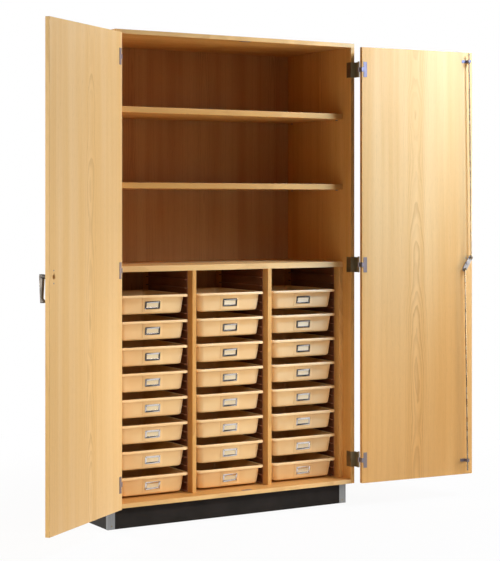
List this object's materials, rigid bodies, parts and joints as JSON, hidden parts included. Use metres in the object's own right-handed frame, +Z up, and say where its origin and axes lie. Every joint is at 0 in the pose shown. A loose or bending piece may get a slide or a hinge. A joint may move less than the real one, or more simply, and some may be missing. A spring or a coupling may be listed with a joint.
{
  "type": "tote tray storage cabinet",
  "caption": "Tall wooden cabinet with wrap-hinged double doors, a rod latch, open shelves above and columns of pull-out tote trays below.",
  "frame": {"origin": "on the floor, at the centre of the carcass's footprint, under the base's middle rail", "axes": "+Z up, +X to the right seen from the front, the open front faces -Y"},
  "size_m": [2.3269, 0.9755, 2.134],
  "materials": {
    "oak": "satin lacquered light oak",
    "base_black": "matt black laminate",
    "tray_plastic": "satin moulded",
    "runner_plastic": "satin moulded",
    "plate_aluminium": "brushed",
    "steel": "zinc plated",
    "gunmetal": "satin gunmetal",
    "handle_chrome": "satin chrome"
  },
  "bodies": {
    "cabinet": {"left_side": "oak", "right_side": "oak", "top_panel": "oak", "bottom_panel": "oak", "back_panel": "oak", "fixed_shelf": "oak", "lower_shelf": "oak", "upper_shelf": "oak", "left_liner": "oak", "left_divider": "oak", "right_divider": "oak", "right_liner": "oak", "shelf_pins": "steel", "tray_runners": "runner_plastic", "base_front_rail": "base_black", "base_rear_rail": "base_black", "base_middle_rail": "base_black", "base_side_rails": "base_black", "base_corner_plates": "plate_aluminium", "latch_strikes": "steel", "carcass_screws": "steel", "hinge_frame_leaves": "gunmetal", "hinge_pins": "gunmetal"},
    "left_door": {"left_door": "oak", "left_hinge_leaves": "gunmetal", "left_door_screws": "steel", "left_handle": "handle_chrome"},
    "right_door": {"right_door": "oak", "right_hinge_leaves": "gunmetal", "right_door_screws": "steel", "rod_guides": "steel", "handle_rose": "handle_chrome"},
    "right_handle": {"right_handle": "handle_chrome", "latch_cam": "handle_chrome"},
    "upper_rod": {"upper_rod": "steel"},
    "lower_rod": {"lower_rod": "steel"},
    "tray_left_8": {"tray_left_8": "tray_plastic"},
    "tray_left_7": {"tray_left_7": "tray_plastic"},
    "tray_left_6": {"tray_left_6": "tray_plastic"},
    "tray_left_5": {"tray_left_5": "tray_plastic"},
    "tray_left_4": {"tray_left_4": "tray_plastic"},
    "tray_left_3": {"tray_left_3": "tray_plastic"},
    "tray_left_2": {"tray_left_2": "tray_plastic"},
    "tray_left_1": {"tray_left_1": "tray_plastic"},
    "tray_middle_8": {"tray_middle_8": "tray_plastic"},
    "tray_middle_7": {"tray_middle_7": "tray_plastic"},
    "tray_middle_6": {"tray_middle_6": "tray_plastic"},
    "tray_middle_5": {"tray_middle_5": "tray_plastic"},
    "tray_middle_4": {"tray_middle_4": "tray_plastic"},
    "tray_middle_3": {"tray_middle_3": "tray_plastic"},
    "tray_middle_2": {"tray_middle_2": "tray_plastic"},
    "tray_middle_1": {"tray_middle_1": "tray_plastic"},
    "tray_right_8": {"tray_right_8": "tray_plastic"},
    "tray_right_7": {"tray_right_7": "tray_plastic"},
    "tray_right_6": {"tray_right_6": "tray_plastic"},
    "tray_right_5": {"tray_right_5": "tray_plastic"},
    "tray_right_4": {"tray_right_4": "tray_plastic"},
    "tray_right_3": {"tray_right_3": "tray_plastic"},
    "tray_right_2": {"tray_right_2": "tray_plastic"},
    "tray_right_1": {"tray_right_1": "tray_plastic"}
  },
  "joints": [
    {"name": "left_door_swing", "type": "hinge", "parent": "cabinet", "child": "left_door", "pos_m": [-0.6135, -0.3085, 1.11], "axis": [0, 0, -1], "range_deg": [-143, 107]},
    {"name": "right_door_swing", "type": "hinge", "parent": "cabinet", "child": "right_door", "pos_m": [0.6135, -0.3085, 1.11], "axis": [0, 0, 1], "range_deg": [-176, 74]},
    {"name": "handle_turn", "type": "hinge", "parent": "right_door", "child": "right_handle", "pos_m": [1.18974, -0.35381, 1.11], "axis": [0.0698, 0.9976, 0], "range_deg": [-33, 57]},
    {"name": "upper_rod_slide", "type": "slide", "parent": "right_door", "child": "upper_rod", "axis": [-0.0144, 0.001, 0.9999], "range_m": [-0.02091, 0.01211]},
    {"name": "lower_rod_slide", "type": "slide", "parent": "right_door", "child": "lower_rod", "axis": [0.0146, -0.001, -0.9999], "range_m": [-0.02091, 0.01211]},
    {"name": "tray_left_8_slide", "type": "slide", "parent": "cabinet", "child": "tray_left_8", "axis": [0, -1, 0], "range_m": [0, 0.38]},
    {"name": "tray_left_7_slide", "type": "slide", "parent": "cabinet", "child": "tray_left_7", "axis": [0, -1, 0], "range_m": [0, 0.38]},
    {"name": "tray_left_6_slide", "type": "slide", "parent": "cabinet", "child": "tray_left_6", "axis": [0, -1, 0], "range_m": [0, 0.38]},
    {"name": "tray_left_5_slide", "type": "slide", "parent": "cabinet", "child": "tray_left_5", "axis": [0, -1, 0], "range_m": [0, 0.38]},
    {"name": "tray_left_4_slide", "type": "slide", "parent": "cabinet", "child": "tray_left_4", "axis": [0, -1, 0], "range_m": [0, 0.38]},
    {"name": "tray_left_3_slide", "type": "slide", "parent": "cabinet", "child": "tray_left_3", "axis": [0, -1, 0], "range_m": [0, 0.38]},
    {"name": "tray_left_2_slide", "type": "slide", "parent": "cabinet", "child": "tray_left_2", "axis": [0, -1, 0], "range_m": [0, 0.38]},
    {"name": "tray_left_1_slide", "type": "slide", "parent": "cabinet", "child": "tray_left_1", "axis": [0, -1, 0], "range_m": [0, 0.38]},
    {"name": "tray_middle_8_slide", "type": "slide", "parent": "cabinet", "child": "tray_middle_8", "axis": [0, -1, 0], "range_m": [0, 0.38]},
    {"name": "tray_middle_7_slide", "type": "slide", "parent": "cabinet", "child": "tray_middle_7", "axis": [0, -1, 0], "range_m": [0, 0.38]},
    {"name": "tray_middle_6_slide", "type": "slide", "parent": "cabinet", "child": "tray_middle_6", "axis": [0, -1, 0], "range_m": [0, 0.38]},
    {"name": "tray_middle_5_slide", "type": "slide", "parent": "cabinet", "child": "tray_middle_5", "axis": [0, -1, 0], "range_m": [0, 0.38]},
    {"name": "tray_middle_4_slide", "type": "slide", "parent": "cabinet", "child": "tray_middle_4", "axis": [0, -1, 0], "range_m": [0, 0.38]},
    {"name": "tray_middle_3_slide", "type": "slide", "parent": "cabinet", "child": "tray_middle_3", "axis": [0, -1, 0], "range_m": [0, 0.38]},
    {"name": "tray_middle_2_slide", "type": "slide", "parent": "cabinet", "child": "tray_middle_2", "axis": [0, -1, 0], "range_m": [0, 0.38]},
    {"name": "tray_middle_1_slide", "type": "slide", "parent": "cabinet", "child": "tray_middle_1", "axis": [0, -1, 0], "range_m": [0, 0.38]},
    {"name": "tray_right_8_slide", "type": "slide", "parent": "cabinet", "child": "tray_right_8", "axis": [0, -1, 0], "range_m": [0, 0.38]},
    {"name": "tray_right_7_slide", "type": "slide", "parent": "cabinet", "child": "tray_right_7", "axis": [0, -1, 0], "range_m": [0, 0.38]},
    {"name": "tray_right_6_slide", "type": "slide", "parent": "cabinet", "child": "tray_right_6", "axis": [0, -1, 0], "range_m": [0, 0.38]},
    {"name": "tray_right_5_slide", "type": "slide", "parent": "cabinet", "child": "tray_right_5", "axis": [0, -1, 0], "range_m": [0, 0.38]},
    {"name": "tray_right_4_slide", "type": "slide", "parent": "cabinet", "child": "tray_right_4", "axis": [0, -1, 0], "range_m": [0, 0.38]},
    {"name": "tray_right_3_slide", "type": "slide", "parent": "cabinet", "child": "tray_right_3", "axis": [0, -1, 0], "range_m": [0, 0.38]},
    {"name": "tray_right_2_slide", "type": "slide", "parent": "cabinet", "child": "tray_right_2", "axis": [0, -1, 0], "range_m": [0, 0.38]},
    {"name": "tray_right_1_slide", "type": "slide", "parent": "cabinet", "child": "tray_right_1", "axis": [0, -1, 0], "range_m": [0, 0.38]}
  ],
  "couplings": [
    {"joint": "upper_rod_slide", "follows": "handle_turn", "m_per_rad": -0.021008},
    {"joint": "lower_rod_slide", "follows": "handle_turn", "m_per_rad": -0.021008}
  ]
}
